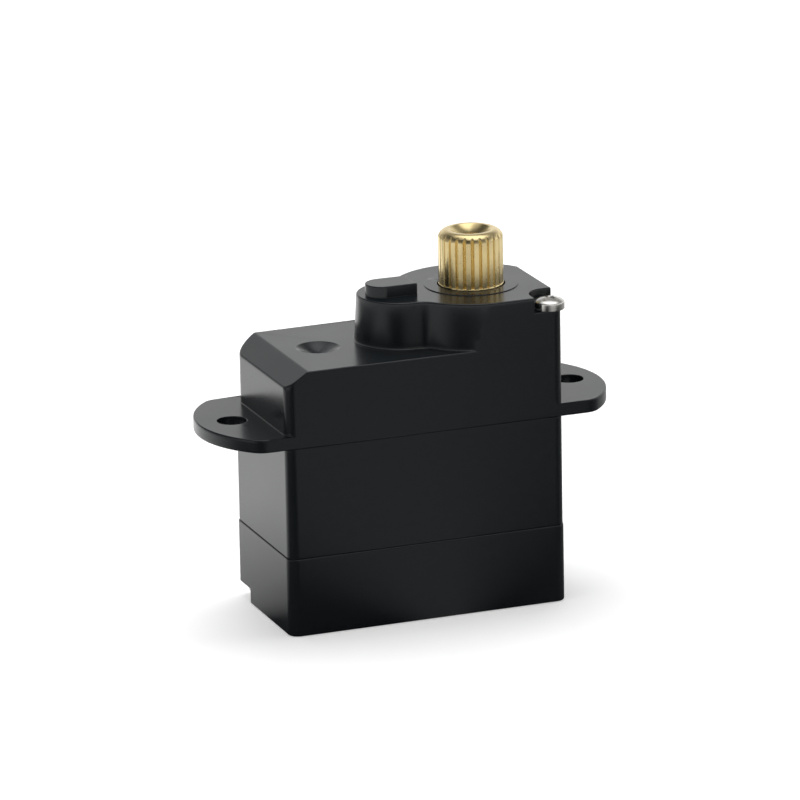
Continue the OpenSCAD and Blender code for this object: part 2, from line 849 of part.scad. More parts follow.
// Two leaf brushes that lie along the commutator, each on its own terminal
module motor_brushes() {
    top = brush_z + 0.7;
    near = commutator_r + 0.03;
    far = terminal_y - terminal_t / 2;
    color("#c98a4b") at_motor() for (turn = [0, 180]) rotate([0, 0, turn]) {
        box([-brush_l, near, brush_z], [terminal_w / 2, near + brush_t, top]);
        box([-brush_l, near + brush_t - 0.03, brush_z], [brush_t - brush_l, far, top]);
        box([-brush_l, far, brush_z], [terminal_w / 2, far + terminal_t, top]);
    }
}

module motor_terminals() {
    color(steel) at_motor() for (side = [-1, 1]) translate([0, side * terminal_y, 0])
        box([-terminal_w / 2, -terminal_t / 2, board_bottom - 0.2], [terminal_w / 2, terminal_t / 2, brush_z]);
}

// ---------------------------------------------------------------- potentiometer

module pot_housing() {
    color("#2b2b2e") at_output() difference() {
        disc(pot_r, pot_bottom, pot_top);
        disc(pot_r - pot_wall, pot_bottom - over, pot_top - 0.6);
        disc(1.3, pot_bottom, pot_top + over);
    }
}

module pot_rotor() {
    color("#efe9d8") at_output() difference() {
        union() {
            disc(1.2, rotor_disc_z, pot_top - 0.05);
            disc(track_r + 0.4, rotor_disc_z, rotor_disc_z + rotor_disc_t);
        }
        difference() {
            disc(lower_r + 0.02, rotor_disc_z - over, pot_top + over);
            box([key_flat + 0.02, -2, rotor_disc_z - over], [2, 2, pot_top + over]);
        }
    }
}

// Spring fork: a ring under the rotor with two fingers that reach down to the track
module pot_wiper() {
    color(brass) at_output() {
        tube(track_r + 0.1, 1.0, rotor_disc_z - 0.12, rotor_disc_z);
        for (r = [contact_r, track_r]) rotate([0, 0, 180])
            box([r - 0.12, -0.3, track_top + 0.04], [r + 0.12, 0.3, rotor_disc_z - 0.1]);
    }
}

module pot_track() {
    color("#d8d4c8") at_output() {
        disc(pot_r - pot_wall - 0.02, pot_bottom, pot_bottom + track_t);
        // Resistive arc and the ring that collects from it
        tube(track_r + 0.3, track_r - 0.3, pot_bottom + track_t, track_top);
        tube(contact_r + 0.25, contact_r - 0.25, pot_bottom + track_t, track_top);
    }
}

module pot_leads() {
    color("#b03a2e") at_output() for (i = [-1 : 1])
        translate([lead_x, i * lead_spacing, 0]) disc(lead_r, board_top, pot_bottom);
}

// ---------------------------------------------------------------- electronics

module control_board() {
    color("#1f6b3a") between(board_bottom, board_top) difference() {
        case_plan(wall + board_gap);
        for (p = [top_screw, bottom_screw]) translate(p) circle(head_r + pocket_gap + 0.5);
        // Slots for the motor terminals
        for (side = [-1, 1]) translate([motor_x, side * terminal_y])
            square([terminal_w + 0.04, terminal_t + 0.04], center = true);
    }
}

module controller_chip() {
    color("#202022") translate([output_x - 6.2, 0, 0]) between(board_bottom - chip_t, board_bottom)
        square([chip_size, chip_size], center = true);
}

module bridge_chips() {
    color("#202022") for (side = [-1, 1]) translate([output_x - 4.6, side * bridge_y, 0])
        between(board_top, board_top + bridge_t) square(bridge_size, center = true);
}

// A row of small parts under the board
module chip_row(count, y, t) {
    for (i = [0 : count - 1]) translate([output_x - 3.4 + i * chip_part_pitch, y, 0])
        between(board_bottom - t, board_bottom) square(chip_part_size, center = true);
}

module capacitors() {
    color("#b08a5a") chip_row(3, -3.2, capacitor_t);
}

module resistors() {
    color("#26272b") chip_row(4, 2.6, resistor_t);
}

// Rubber gland with three lead holes, held between the cover and the middle case
module lead_grommet() {
    end = body_l / 2 + cover_proud;
    inside = body_l / 2 - wall;
    color("#2c2c2c") difference() {
        union() {
            box([inside - 0.8, -inlet_w / 2 + 0.02, seam_z - inlet_h + 0.02],
                [end, inlet_w / 2 - 0.02, seam_z - 0.02]);
            box([inside - 0.8, -inlet_w / 2 - 0.5, seam_z - inlet_h - 0.4],
                [inside - 0.02, inlet_w / 2 + 0.5, seam_z - 0.02]);
        }
        for (i = [-1 : 1]) translate([0, i * lead_hole_pitch, seam_z - inlet_h / 2]) rotate([0, 90, 0])
            disc(lead_hole_r, inside - 2, end + over);
    }
}

top_case();
middle_case();
bottom_cover();
case_screws();
output_gear();
bearing_outer_race();
bearing_inner_race();
bearing_balls();
bearing_cage();
output_bush();
gear_axle();
first_gear();
second_gear();
third_gear();
gear_washers();
motor_pinion();
motor_can();
motor_magnets();
motor_shaft();
motor_bush();
rotor_core();
rotor_windings();
commutator();
motor_end_cap();
motor_end_bush();
motor_brushes();
motor_terminals();
pot_housing();
pot_rotor();
pot_wiper();
pot_track();
pot_leads();
control_board();
controller_chip();
bridge_chips();
capacitors();
resistors();
lead_grommet();
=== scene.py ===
import json
import math

import bmesh
import bpy
from bpy.props import FloatProperty, FloatVectorProperty, IntProperty, PointerProperty
from mathutils import Matrix, Vector


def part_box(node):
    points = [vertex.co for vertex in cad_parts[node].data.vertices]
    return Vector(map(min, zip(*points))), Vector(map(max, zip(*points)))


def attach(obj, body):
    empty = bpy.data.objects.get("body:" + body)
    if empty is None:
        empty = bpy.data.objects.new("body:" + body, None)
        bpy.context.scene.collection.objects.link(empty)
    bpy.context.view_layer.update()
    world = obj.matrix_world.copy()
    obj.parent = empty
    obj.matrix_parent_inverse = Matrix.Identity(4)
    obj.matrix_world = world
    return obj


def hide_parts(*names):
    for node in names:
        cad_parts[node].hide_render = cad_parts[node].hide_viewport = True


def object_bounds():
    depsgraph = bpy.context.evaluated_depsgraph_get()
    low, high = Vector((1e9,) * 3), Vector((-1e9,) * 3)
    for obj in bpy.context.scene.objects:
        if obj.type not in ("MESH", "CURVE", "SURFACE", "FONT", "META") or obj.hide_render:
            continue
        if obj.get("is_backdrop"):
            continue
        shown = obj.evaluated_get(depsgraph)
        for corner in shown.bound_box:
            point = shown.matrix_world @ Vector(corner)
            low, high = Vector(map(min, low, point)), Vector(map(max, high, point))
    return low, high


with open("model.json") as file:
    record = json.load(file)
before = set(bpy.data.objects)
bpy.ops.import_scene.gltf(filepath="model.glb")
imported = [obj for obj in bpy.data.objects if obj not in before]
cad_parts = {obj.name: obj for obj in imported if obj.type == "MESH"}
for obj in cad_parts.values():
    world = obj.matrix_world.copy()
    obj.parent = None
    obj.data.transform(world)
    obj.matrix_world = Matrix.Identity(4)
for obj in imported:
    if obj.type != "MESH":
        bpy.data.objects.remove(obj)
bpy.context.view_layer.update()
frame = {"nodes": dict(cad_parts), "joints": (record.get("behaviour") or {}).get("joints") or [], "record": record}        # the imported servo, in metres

bl_info = {
    "name": "Micro Servo Motor",
    "version": (1, 0, 0),
    "blender": (4, 5, 0),
    "location": "View3D > Sidebar > Servo",
    "description": "Rounded shells, brass spline, screws, finishes and stage for a micro servo motor",
    "category": "Object",
}

MM = 0.001
OUTPUT_X, OUTPUT_Y = frame["joints"][0]["pos_m"][0] / MM, frame["joints"][0]["pos_m"][1] / MM
SLOT_OF = {part["node"]: part["material_slot"] for part in frame["record"]["subparts"]}
# Places on the case, in mm: the gear axle, the dimple, the ear holes and the two corner screws
AXLE_X = 0.3
DIMPLE_X = -6.55
EAR_HOLES = (-13.7, 14.3)
TOP_SCREW = (10.6, -5.2)
BOTTOM_SCREW = (-9.9, 4.65)
# The case's edges, in mm from its middle: inside these lie its inner faces, and outside these its outer skin
INNER_X, INNER_Y = 10.6, 5.3
SKIN_X, SKIN_Y = 11.3, 6.05
# Heights in mm: the ears' top, the same with its edges' rounding, a cut below the slope, the step's inner ceiling,
# and the middle of the step's top edge
EAR_Z, EAR_TOP_Z, SLOPE_CUT_Z, CEILING_Z, STEP_TOP_Z = 1.05, 1.2, 4.6, 5.6, 6.05
# How far from its axis each feature's edges reach, in mm: the domes' inner walls, the screws' holes, the boss ring,
# the pad's foot, the ear holes and the dimple
DOME_REACH, AXLE_DOME_REACH = 4.35, 2.7
TOP_HOLE_REACH, BOTTOM_HOLE_REACH = 1.05, 1.1
RING_REACH, PAD_REACH = 3.9, 3
EAR_HOLE_REACH, DIMPLE_REACH = 1.2, 1.9
# Where the top screw's pocket begins, in mm
POCKET_X, POCKET_Y, POCKET_Z = 9, -3.6, 8
# The radius in mm of edges that are hardly broken
BROKEN = 0.02
# How far below the pad's top the domes end, how far below that the screw pocket's floor is, and how high the cover's
# foot pocket is, in mm
PAD_H, POCKET_H, FOOT_POCKET_H = 0.9, 1.2, 1.2
# Room in mm that a level cut leaves beside a rounded edge
CUT_ROOM = 0.26
# The shaft's radii and heights in mm: spline tips, journal, seat, tapped bore and countersink; where the new upper end
# joins the CAD gear, its seat and its collar; and how far the new end reaches into the gear
TIP_R, JOURNAL_R, SEAT_R, BORE_R, COUNTERSINK_R = 2.52, 2.55, 2.8, 1.05, 1.58
JOIN_Z, SEAT_Z, COLLAR_Z = 7.3, 7.5, 9.9
OVERLAP = 0.15
BORE_DEPTH, COUNTERSINK_DEPTH = 6.0, 0.6
# The screws in mm: head height and radii, shank radius, thread root and height, and the shanks' ends
HEAD_H, TOP_HEAD_R, BOTTOM_HEAD_R = 0.95, 1.2, 1.1
SHANK_R, THREAD_ROOT, THREAD_H = 0.5, 0.42, 0.13
TOP_SCREW_TIP, BOTTOM_SCREW_TIP = -12.0, 3.3
# Degrees that the screws' cross recesses are turned
RECESS_TURN = 35


def linear(code):
    """The linear RGBA colour of an sRGB hex value."""
    shares = [int(code[i:i + 2], 16) / 255 for i in (1, 3, 5)]
    return tuple(s / 12.92 if s <= 0.04045 else ((s + 0.055) / 1.055) ** 2.4 for s in shares) + (1.0,)


def length(name, text, millimetres, low=0.0, high=100.0):
    """A length property whose default is given in millimetres."""
    return FloatProperty(name=name, description=text, default=millimetres * MM, min=low * MM, max=high * MM,
                         precision=5, unit="LENGTH", subtype="DISTANCE")


def hue(name, text, code):
    """A colour property whose default is an sRGB hex value."""
    return FloatVectorProperty(name=name, description=text, default=linear(code), size=4, min=0.0, max=1.0,
                               subtype="COLOR")


# ---------------------------------------------------------------- settings

class ServoCaseSettings(bpy.types.PropertyGroup):
    """How far the moulded shells' edges are rounded"""
    edge: length("Edge radius", "Radius of the shells' outer edges", 0.12, 0.01, 0.3)
    seam: length("Seam radius", "Radius of the edges that meet in the two seams", 0.08, 0.01, 0.1)
    fine: length("Fine edge radius", "Radius of edges round holes and pockets", 0.06, 0.01, 0.1)
    steps: IntProperty(name="Edge steps", description="Faces across each rounded edge", default=3, min=1, max=6)


class ServoShaftSettings(bpy.types.PropertyGroup):
    """Sizes of the splined end of the output shaft"""
    teeth: IntProperty(name="Spline teeth", description="Number of spline teeth", default=25, min=15, max=32)
    root: length("Root radius", "Radius at the bottom of the spline grooves", 2.31, 2.0, 2.5)
    crown: length("Crown radius", "Radius of the rounded crown", 0.75, 0.2, 1.0)
    pitch: length("Thread pitch", "Pitch of the tapped hole's thread", 0.45, 0.2, 1.0)


class ServoScrewSettings(bpy.types.PropertyGroup):
    """Sizes of the two case screws"""
    pitch: length("Thread pitch", "Pitch of the thread on the shanks", 0.5, 0.2, 1.0)
    slot_width: length("Recess arm", "Width of the cross recess's arms", 0.42, 0.1, 0.6)


class ServoColours(bpy.types.PropertyGroup):
    """Colours of the finishes that show"""
    nylon: hue("Nylon", "Black glass-filled nylon", "#15191c")
    brass: hue("Brass", "Turned brass", "#f2dca4")
    nickel: hue("Nickel", "Bright nickel plate on the screws", "#ebe9e4")
    rubber: hue("Rubber", "Cable gland rubber", "#232425")
    backdrop: hue("Backdrop", "Floor and background", "#ffffff")


class ServoStageSettings(bpy.types.PropertyGroup):
    """Camera and light"""
    azimuth: FloatProperty(name="Azimuth", description="Camera direction round the servo", subtype="ANGLE",
                           unit="ROTATION", default=math.radians(-20.61))
    elevation: FloatProperty(name="Elevation", description="Camera height above the horizon", subtype="ANGLE",
                             unit="ROTATION", default=math.radians(16.283))
    roll: FloatProperty(name="Roll", description="Camera turn about its own axis", subtype="ANGLE",
                        unit="ROTATION", default=math.radians(-1.081))
    distance: length("Distance", "From the camera to its target", 482.935, 100.0, 2000.0)
    lens: FloatProperty(name="Lens", description="Focal length for a 36 mm sensor", subtype="DISTANCE_CAMERA",
                        unit="CAMERA", default=280.038, min=20.0, max=600.0)
    ambient: FloatProperty(name="Ambient", description="Level of the light from all round", default=0.42,
                           min=0.0, max=1.0, subtype="FACTOR")


# ---------------------------------------------------------------- mesh tools

def new_piece(name, mesh_data, nodes, body, slot):
    """An object that stands for CAD nodes, rides on a body and takes the finish of a slot."""
    piece = bpy.data.objects.new(name, mesh_data)
    bpy.context.scene.collection.objects.link(piece)
    for node in nodes:
        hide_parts(node)
    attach(piece, body)
    mesh_data.materials.clear()
    mesh_data.materials.append(finish(slot))
    return piece


def scratch(mesh_data):
    """An object that only carries modifiers while a mesh is made."""
    piece = bpy.data.objects.new("scratch", mesh_data)
    bpy.context.scene.collection.objects.link(piece)
    return piece


def settle(piece):
    """The mesh that an object's modifiers give; the object itself goes."""
    bpy.context.view_layer.update()
    graph = bpy.context.evaluated_depsgraph_get()
    mesh_data = bpy.data.meshes.new_from_object(piece.evaluated_get(graph), preserve_all_data_layers=True,
                                                depsgraph=graph)
    bpy.data.objects.remove(piece)
    return mesh_data


def boolean(kind, first, second):
    """One closed mesh from two closed meshes."""
    base, tool = scratch(first), scratch(second)
    cut = base.modifiers.new("Boolean", "BOOLEAN")
    cut.operation, cut.object, cut.solver = kind, tool, "EXACT"
    made = settle(base)
    bpy.data.objects.remove(tool)
    return made


def welded_copy(node):
    """A CAD node's mesh as one closed skin whose flat faces are whole."""
    mesh = bmesh.new()
    mesh.from_mesh(frame["nodes"][node].data)
    bmesh.ops.remove_doubles(mesh, verts=mesh.verts, dist=1e-7)
    bmesh.ops.dissolve_limit(mesh, angle_limit=math.radians(0.3), verts=mesh.verts, edges=mesh.edges,
                             use_dissolve_boundaries=False)
    return mesh


def to_mesh(mesh, name):
    """A mesh data block from a working mesh, which is freed."""
    data = bpy.data.meshes.new(name)
    mesh.to_mesh(data)
    mesh.free()
    return data


def smooth(data, angle=30):
    """Smooth shading that keeps edges sharper than an angle."""
    data.shade_smooth()
    data.set_sharp_from_angle(angle=math.radians(angle))
    return data


def rounded_shell(node, name, radius_at, steps, levels=()):
    """A copy of a CAD node with its edges rounded by radius_at, which takes an edge's middle in mm.

    It is cut level at each height in levels first, so that a rounded edge can't pull at a whole wall.
    """
    mesh = welded_copy(node)
    for level in levels:
        bmesh.ops.bisect_plane(mesh, geom=mesh.verts[:] + mesh.edges[:] + mesh.faces[:], dist=1e-7,
                               plane_co=(0, 0, level * MM), plane_no=(0, 0, 1))
    weight = mesh.edges.layers.float.new("bevel_weight_edge")
    sharp = [e for e in mesh.edges if e.is_manifold and e.calc_face_angle() > math.radians(24)]
    wanted = {e: radius_at((e.verts[0].co + e.verts[1].co) / (2 * MM)) for e in sharp}
    widest = max(wanted.values())
    for edge, radius in wanted.items():
        edge[weight] = radius / widest
    piece = scratch(to_mesh(mesh, name))
    bevel = piece.modifiers.new("Rounded edges", "BEVEL")
    bevel.limit_method, bevel.width, bevel.segments = "WEIGHT", widest, steps
    bevel.use_clamp_overlap, bevel.miter_outer, bevel.loop_slide = False, "MITER_SHARP", True
    data = settle(piece)
    smooth(data, 35)
    piece = scratch(data)
    even = piece.modifiers.new("Even shading", "WEIGHTED_NORMAL")
    even.keep_sharp, even.weight, even.mode = True, 80, "FACE_AREA"
    data = settle(piece)
    data.name = name
    return data


def turned(name, profile, columns, place=(0, 0), shape=None):
    """A closed skin turned about an upright axis from (r, z) points in mm; both ends lie on the axis."""
    mesh = bmesh.new()
    rings = []
    for number, (r, z) in enumerate(profile):
        if r == 0:
            rings.append([mesh.verts.new((place[0] * MM, place[1] * MM, z * MM))])
            continue
        ring = []
        for i in range(columns):
            turn = i / columns
            radius = shape(number, turn, r, z) if shape else r
            angle = 2 * math.pi * turn
            ring.append(mesh.verts.new(((place[0] + radius * math.cos(angle)) * MM,
                                        (place[1] + radius * math.sin(angle)) * MM, z * MM)))
        rings.append(ring)
    for low, high in zip(rings, rings[1:]):
        for i in range(columns):
            j = (i + 1) % columns
            if len(low) == 1:
                mesh.faces.new((low[0], high[j], high[i]))
            elif len(high) == 1:
                mesh.faces.new((low[i], low[j], high[0]))
            else:
                mesh.faces.new((low[i], low[j], high[j], high[i]))
    bmesh.ops.recalc_face_normals(mesh, faces=mesh.faces)
    return to_mesh(mesh, name)


def triangle(x):
    """A triangle wave from 0 to 1 and back with period 1."""
    x %= 1.0
    return 2 * x if x < 0.5 else 2 - 2 * x


# ---------------------------------------------------------------- finishes

def add(tree, kind, settings=None, inputs=None, stops=()):
    """Adds a node with its settings; an input is a value or another node's output.

    Each stop of a ramp is a place from 0 to 1 and a grey level.
    """
    node = tree.nodes.new(kind)
    for number, (place, grey) in enumerate(stops):
        element = node.color_ramp.elements[number] if number < 2 else node.color_ramp.elements.new(place)
        element.position, element.color = place, (grey, grey, grey, 1.0)
    for key, value in (settings or {}).items():
        setattr(node, key, value)
    for key, value in (inputs or {}).items():
        if isinstance(value, bpy.types.NodeSocket):
            tree.links.new(value, node.inputs[key])
        else:
            node.inputs[key].default_value = value
    return node


def per_metre(millimetres):
    """Texture scale that gives features of a size in millimetres."""
    return 1 / (millimetres * MM)


def empty_tree(holder):
    """The node tree of a new material or world, with nothing in it."""
    holder.use_nodes = True
    holder.node_tree.nodes.clear()
    return holder.node_tree


def blank(name, **inputs):
    """A new material with one shader; gives the material, its tree, its shader and its coordinates."""
    material = bpy.data.materials.new(name)
    tree = empty_tree(material)
    shader = add(tree, "ShaderNodeBsdfPrincipled", None, {k.replace("_", " "): v for k, v in inputs.items()})
    add(tree, "ShaderNodeOutputMaterial", None, {"Surface": shader.outputs[0]})
    place = add(tree, "ShaderNodeTexCoord").outputs["Object"]
    return material, tree, shader, place


def vary(tree, shader, place, colour, light, roughness, spread, patch):
    """Slow changes of colour and roughness over patches of a size in mm."""
    cloud = add(tree, "ShaderNodeTexNoise", None, {"Vector": place, "Scale": per_metre(patch), "Detail": 2.0})
    mix = add(tree, "ShaderNodeMix", {"data_type": "RGBA"},
              {0: cloud.outputs["Fac"], 6: colour, 7: light})
    tree.links.new(mix.outputs[2], shader.inputs["Base Color"])
    rough = add(tree, "ShaderNodeMapRange", {"clamp": False},
                {"Value": cloud.outputs["Fac"], "From Min": 0.3, "From Max": 0.7,
                 "To Min": roughness - spread, "To Max": roughness + spread})
    tree.links.new(rough.outputs[0], shader.inputs["Roughness"])
    return cloud


def moulded(name, dark, light, roughness, grain, depth, ior=1.5):
    """Injection-moulded plastic or rubber: the tool's spark-eroded grain, and the flow's faint clouds."""
    material, tree, shader, place = blank(name, IOR=ior)
    vary(tree, shader, place, dark, light, roughness, 0.02, 6.0)
    spark = add(tree, "ShaderNodeTexNoise", None, {"Vector": place, "Scale": per_metre(grain), "Detail": 3.0,
                                                   "Roughness": 0.6})
    bump = add(tree, "ShaderNodeBump", None, {"Height": spark.outputs["Fac"], "Strength": 1.0,
                                              "Distance": depth * MM})
    tree.links.new(bump.outputs[0], shader.inputs["Normal"])
    return material


def lathe_cut(name, colour, light, roughness, axis_x, line, depth):
    """Metal turned in a lathe: fine rings about the part's axis, and a little tarnish."""
    material, tree, shader, place = blank(name, Metallic=1.0)
    vary(tree, shader, place, colour, light, roughness, 0.05, 1.6)
    apart = add(tree, "ShaderNodeSeparateXYZ", None, {0: place})
    across = add(tree, "ShaderNodeMath", {"operation": "SUBTRACT"}, {0: apart.outputs[0], 1: axis_x * MM})
    flat = add(tree, "ShaderNodeCombineXYZ", None, {0: across.outputs[0], 1: apart.outputs[1]})
    radius = add(tree, "ShaderNodeVectorMath", {"operation": "LENGTH"}, {0: flat.outputs[0]})
    rings = add(tree, "ShaderNodeCombineXYZ", None, {0: radius.outputs["Value"], 1: apart.outputs[2]})
    tool = add(tree, "ShaderNodeTexNoise", {"noise_dimensions": "2D"},
               {"Vector": rings.outputs[0], "Scale": per_metre(line), "Detail": 2.0})
    bump = add(tree, "ShaderNodeBump", None, {"Height": tool.outputs["Fac"], "Strength": 1.0,
                                              "Distance": depth * MM})
    tree.links.new(bump.outputs[0], shader.inputs["Normal"])
    return material


def rolled(name, colour, light, roughness, line, depth, metallic=1.0, stretch=(0.08, 1.0, 1.0)):
    """Sheet or drawn stock: scratches drawn out along one direction."""
    material, tree, shader, place = blank(name, Metallic=metallic)
    vary(tree, shader, place, colour, light, roughness, 0.06, 2.5)
    drawn = add(tree, "ShaderNodeMapping", None, {"Vector": place, "Scale": stretch})
    lines = add(tree, "ShaderNodeTexNoise", None, {"Vector": drawn.outputs[0], "Scale": per_metre(line),
                                                   "Detail": 3.0})
    bump = add(tree, "ShaderNodeBump", None, {"Height": lines.outputs["Fac"], "Strength": 1.0,
                                              "Distance": depth * MM})
    tree.links.new(bump.outputs[0], shader.inputs["Normal"])
    return material


def banded(name, colour, light, roughness, step, depth, direction, metallic):
    """Layers side by side: stamped laminations or turns of wire, each lighter in its middle and darker at its edges,
    with painted shade in the gap between layers.
    """
    material, tree, shader, place = blank(name, Metallic=metallic)
    bands = add(tree, "ShaderNodeTexWave", {"wave_type": "BANDS", "bands_direction": direction},
                {"Vector": place, "Scale": per_metre(step) / 20, "Distortion": 0.15, "Detail": 1.0})
    # Painted shade: each band runs from a light middle to a dark gap
    mix = add(tree, "ShaderNodeMix", {"data_type": "RGBA"}, {0: bands.outputs["Fac"], 6: colour, 7: light})
    tree.links.new(mix.outputs[2], shader.inputs["Base Color"])
    bump = add(tree, "ShaderNodeBump", None, {"Height": bands.outputs["Fac"], "Strength": 1.0,
                                              "Distance": depth * MM})
    tree.links.new(bump.outputs[0], shader.inputs["Normal"])
    shader.inputs["Roughness"].default_value = roughness
    return material


def speckled(name, colour, light, roughness, grain, depth, metallic=0.0):
    """Fired or sintered powder: a matt, granular face."""
    material, tree, shader, place = blank(name, Metallic=metallic)
    grains = add(tree, "ShaderNodeTexVoronoi", None, {"Vector": place, "Scale": per_metre(grain)})
    mix = add(tree, "ShaderNodeMix", {"data_type": "RGBA"}, {0: grains.outputs["Distance"], 6: colour, 7: light})
    tree.links.new(mix.outputs[2], shader.inputs["Base Color"])
    bump = add(tree, "ShaderNodeBump", None, {"Height": grains.outputs["Distance"], "Strength": 1.0,
                                              "Distance": depth * MM})
    tree.links.new(bump.outputs[0], shader.inputs["Normal"])
    shader.inputs["Roughness"].default_value = roughness
    return material


def shade(colour, share):
    """A colour made darker or lighter by a share."""
    return tuple(c * share for c in colour[:3]) + (1.0,)


def finishes():
    """Each slot's maker and what it takes, in order; the patterns' sizes and depths are in mm."""
    colours = bpy.context.scene.servo_colours
    nylon, brass, nickel, rubber = (tuple(c) for c in (colours.nylon, colours.brass, colours.nickel, colours.rubber))
    return {
        # Glass-filled nylon from a spark-eroded tool: satin black, soft-edged reflections, a faint even grain
        "black_nylon": (moulded, "moulded black nylon", nylon, shade(nylon, 1.1), 0.24, 0.16, 0.0014, 1.45),
        # Lathe-turned and lightly tarnished: pale gold with hair-fine rings
        "turned_brass": (lathe_cut, "turned brass", shade(brass, 0.92), brass, 0.24, OUTPUT_X, 0.09, 0.001),
        # Bright plate over headed steel: nearly a mirror
        "nickel_screw": (lathe_cut, "nickel plated steel", shade(nickel, 0.85), nickel, 0.2, TOP_SCREW[0], 0.1, 0.001),
        # Moulded rubber: dull black with no clear reflection
        "gland_rubber": (moulded, "moulded gland rubber", rubber, shade(rubber, 1.3), 0.6, 0.2, 0.004),
        # Ground and lapped: bright, with the finest lines of all
        "bearing_steel": (lathe_cut, "ground bearing steel", "#b9bdc2", "#cfd2d6", 0.18, OUTPUT_X, 0.05, 0.0005),
        # Ground pins: bright grey, with short lines along one direction
        "gear_steel": (rolled, "ground steel pin", "#aeb2b6", "#c8ccd0", 0.25, 0.06, 0.0006),
        # Hobbed gears: deeper gold, with cutter marks round the axle
        "gear_brass": (lathe_cut, "hobbed gear brass", "#b8954a", "#d3b266", 0.28, AXLE_X, 0.08, 0.001),
        # Deep-drawn and plated: scratches drawn out along the can's height
        "can_steel": (rolled, "drawn nickel plated can", "#b4b4ae", "#cfcfc9", 0.28, 0.12, 0.0012, 1.0,
                      (1.0, 1.0, 0.06)),
        # Sintered powder: matt dark grey; the grains are drawn coarser than real ones so that they show
        "ferrite": (speckled, "sintered ferrite", "#2f3033", "#4a4b4e", 0.6, 0.12, 0.004),
        # A stack of stamped sheets: thin grey layers with painted shade between them
        "lamination_steel": (banded, "stamped laminations", "#5d6064", "#9a9da1", 0.4, 0.35, 0.01, "Z", 1.0),
        # Enamelled wire, wound: glossy red-brown turns side by side, with lighter middles and painted shade between
        # them
        "enamelled_copper": (banded, "wound enamelled copper", "#5c2412", "#b4602c", 0.25, 0.12, 0.02, "Z", 0.6),
        # Drawn strip and segments: warm pink metal with fine draw lines
        "copper": (rolled, "drawn copper", "#b06a45", "#cf8a5e", 0.3, 0.08, 0.0008),
        # Unpigmented nylon: milky cream, satin
        "cream_nylon": (moulded, "moulded cream nylon", "#ddd8c6", "#ebe7d8", 0.42, 0.2, 0.003),
        # Moulded resin: even dark grey with a dull grain
        "pot_resin": (moulded, "moulded potentiometer resin", "#26272a", "#303134", 0.45, 0.18, 0.004),
        # Fired substrate: chalky off-white; the grains are drawn coarser than real ones
        "track_ceramic": (speckled, "fired alumina", "#d5d1c2", "#e6e2d6", 0.55, 0.1, 0.002),
        # Woven glass under green solder mask: glossy, with the weave just showing
        "board_laminate": (rolled, "glass laminate with solder mask", "#0e4a24", "#1c6b38", 0.3, 0.35, 0.004, 0.0,
                           (1.0, 0.3, 1.0)),
        # Transfer-moulded epoxy: flat near-black
        "chip_resin": (moulded, "moulded chip resin", "#1e1f21", "#2a2b2d", 0.55, 0.08, 0.004),
        # Fired ceramic body: tan and faintly speckled
        "capacitor_ceramic": (speckled, "fired capacitor ceramic", "#9a7448", "#b58c5c", 0.45, 0.08, 0.002),
        # Extruded sleeve: smooth, half-glossy red
        "wire_sleeve": (moulded, "extruded wire sleeve", "#9c2a20", "#b53c30", 0.4, 0.3, 0.003),
    }


def finish(slot):
    """The material of a slot, made once."""
    for material in bpy.data.materials:
        if material.get("servo_slot") == slot:
            return material
    maker, *values = finishes()[slot]
    material = maker(*(linear(v) if isinstance(v, str) and v.startswith("#") else v for v in values))
    material["servo_slot"] = slot
    return material


# ---------------------------------------------------------------- pieces

def plan_distance(point, x, y=0.0):
    """How far a point lies from an upright axis."""
    return math.hypot(point[0] - x, point[1] - y)


